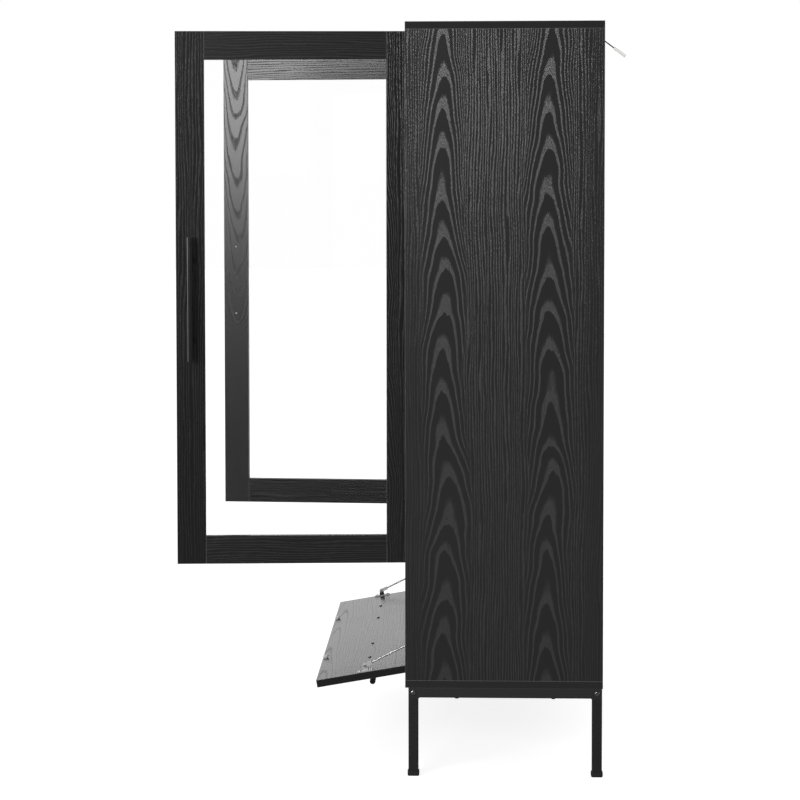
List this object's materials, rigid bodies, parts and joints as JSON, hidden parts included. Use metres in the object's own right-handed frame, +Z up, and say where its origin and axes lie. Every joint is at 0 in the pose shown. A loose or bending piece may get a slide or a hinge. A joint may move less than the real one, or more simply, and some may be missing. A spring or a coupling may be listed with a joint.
{
  "type": "display cabinet",
  "caption": "Tall black display cabinet with glazed doors hinged on pivot pins over a drop flap held by sliding stays, on a square tube leg frame.",
  "frame": {"origin": "on the floor, at the middle of the rectangle that the cabinet covers with its doors and flap open", "axes": "+Z up, +X to the right of someone facing the doors, -Y out of the front"},
  "size_m": [1.0872, 0.901, 1.519],
  "materials": {
    "black_board": "embossed black wood grain foil, satin",
    "black_hardboard": "plain black foil",
    "black_steel": "black powder coat, satin",
    "zinc_steel": "bright zinc plate",
    "black_plastic": "moulded, fine texture",
    "magnet": "bare sintered",
    "white_nylon": "moulded nylon",
    "clear_glass": "clear toughened pane",
    "dowel_wood": "fluted beech"
  },
  "bodies": {
    "cabinet": {"lower_shelf": "black_board", "middle_shelf": "black_board", "upper_shelf": "black_board", "shelf_pins": "zinc_steel", "door_pivot_bushes": "black_plastic", "flap_pivot_bushes": "black_plastic", "stay_guide_bushes": "black_plastic", "frame_screws": "black_steel", "top_panel": "black_board", "bottom_panel": "black_board", "divider_panel": "black_board", "right_side_panel": "black_board", "left_side_panel": "black_board", "back_panel": "black_hardboard", "right_leg_frame": "black_steel", "left_leg_frame": "black_steel", "front_cross_rail": "black_steel", "rear_cross_rail": "black_steel", "cross_rail_plugs": "black_plastic", "frame_bolts": "black_steel", "leg_glides": "black_plastic", "magnetic_catches": "black_plastic", "catch_magnets": "magnet", "tether_bracket": "black_steel", "tether_wire": "black_steel", "wall_plug": "white_nylon", "cam_locks": "zinc_steel", "cam_bolts": "zinc_steel", "wood_dowels": "dowel_wood"},
    "left_door": {"left_door_hinge_stile": "black_board", "left_door_meeting_stile": "black_board", "left_door_top_rail": "black_board", "left_door_bottom_rail": "black_board", "left_door_glass": "clear_glass", "left_door_handle": "black_steel", "left_door_handle_screws": "black_steel", "left_door_pivot_pins": "zinc_steel", "left_door_catch_disc": "zinc_steel"},
    "right_door": {"right_door_hinge_stile": "black_board", "right_door_meeting_stile": "black_board", "right_door_top_rail": "black_board", "right_door_bottom_rail": "black_board", "right_door_glass": "clear_glass", "right_door_handle": "black_steel", "right_door_handle_screws": "black_steel", "right_door_pivot_pins": "zinc_steel", "right_door_catch_disc": "zinc_steel"},
    "flap": {"flap_panel": "black_board", "flap_handles": "black_steel", "flap_handle_screws": "black_steel", "flap_pivot_pins": "zinc_steel", "flap_catch_discs": "zinc_steel", "stay_brackets": "zinc_steel", "stay_rivets": "zinc_steel"},
    "left_stay_rod": {"left_stay_rod": "zinc_steel"},
    "right_stay_rod": {"right_stay_rod": "zinc_steel"},
    "left_stay_guide": {"left_stay_guide": "black_plastic"},
    "right_stay_guide": {"right_stay_guide": "black_plastic"}
  },
  "joints": [
    {"name": "right_door_hinge", "type": "hinge", "parent": "cabinet", "child": "right_door", "pos_m": [0.47, 0.01729, 0.966], "axis": [0, 0, -1], "range_deg": [-15.8, 94.2]},
    {"name": "left_door_hinge", "type": "hinge", "parent": "cabinet", "child": "left_door", "pos_m": [-0.47, 0.01729, 0.966], "axis": [0, 0, 1], "range_deg": [-15.8, 94.2]},
    {"name": "flap_hinge", "type": "hinge", "parent": "cabinet", "child": "flap", "pos_m": [0, 0.01729, 0.216], "axis": [-1, 0, 0], "range_deg": [0, 100]},
    {"name": "right_stay_rod_pivot", "type": "hinge", "parent": "flap", "child": "right_stay_rod", "pos_m": [0.475, -0.07276, 0.21992], "axis": [-1, 0, 0], "range_deg": [-50, 0]},
    {"name": "right_stay_guide_swivel", "type": "hinge", "parent": "cabinet", "child": "right_stay_guide", "pos_m": [0.475, 0.06783, 0.29063], "axis": [-1, 0, 0], "range_deg": [0, 50]},
    {"name": "left_stay_rod_pivot", "type": "hinge", "parent": "flap", "child": "left_stay_rod", "pos_m": [-0.475, -0.07276, 0.21992], "axis": [-1, 0, 0], "range_deg": [-50, 0]},
    {"name": "left_stay_guide_swivel", "type": "hinge", "parent": "cabinet", "child": "left_stay_guide", "pos_m": [-0.475, 0.06783, 0.29063], "axis": [-1, 0, 0], "range_deg": [0, 50]}
  ],
  "couplings": [
    {"joint": "right_stay_rod_pivot", "follows": "flap_hinge", "ratio": -0.5},
    {"joint": "right_stay_guide_swivel", "follows": "flap_hinge", "ratio": 0.5},
    {"joint": "left_stay_rod_pivot", "follows": "flap_hinge", "ratio": -0.5},
    {"joint": "left_stay_guide_swivel", "follows": "flap_hinge", "ratio": 0.5}
  ]
}
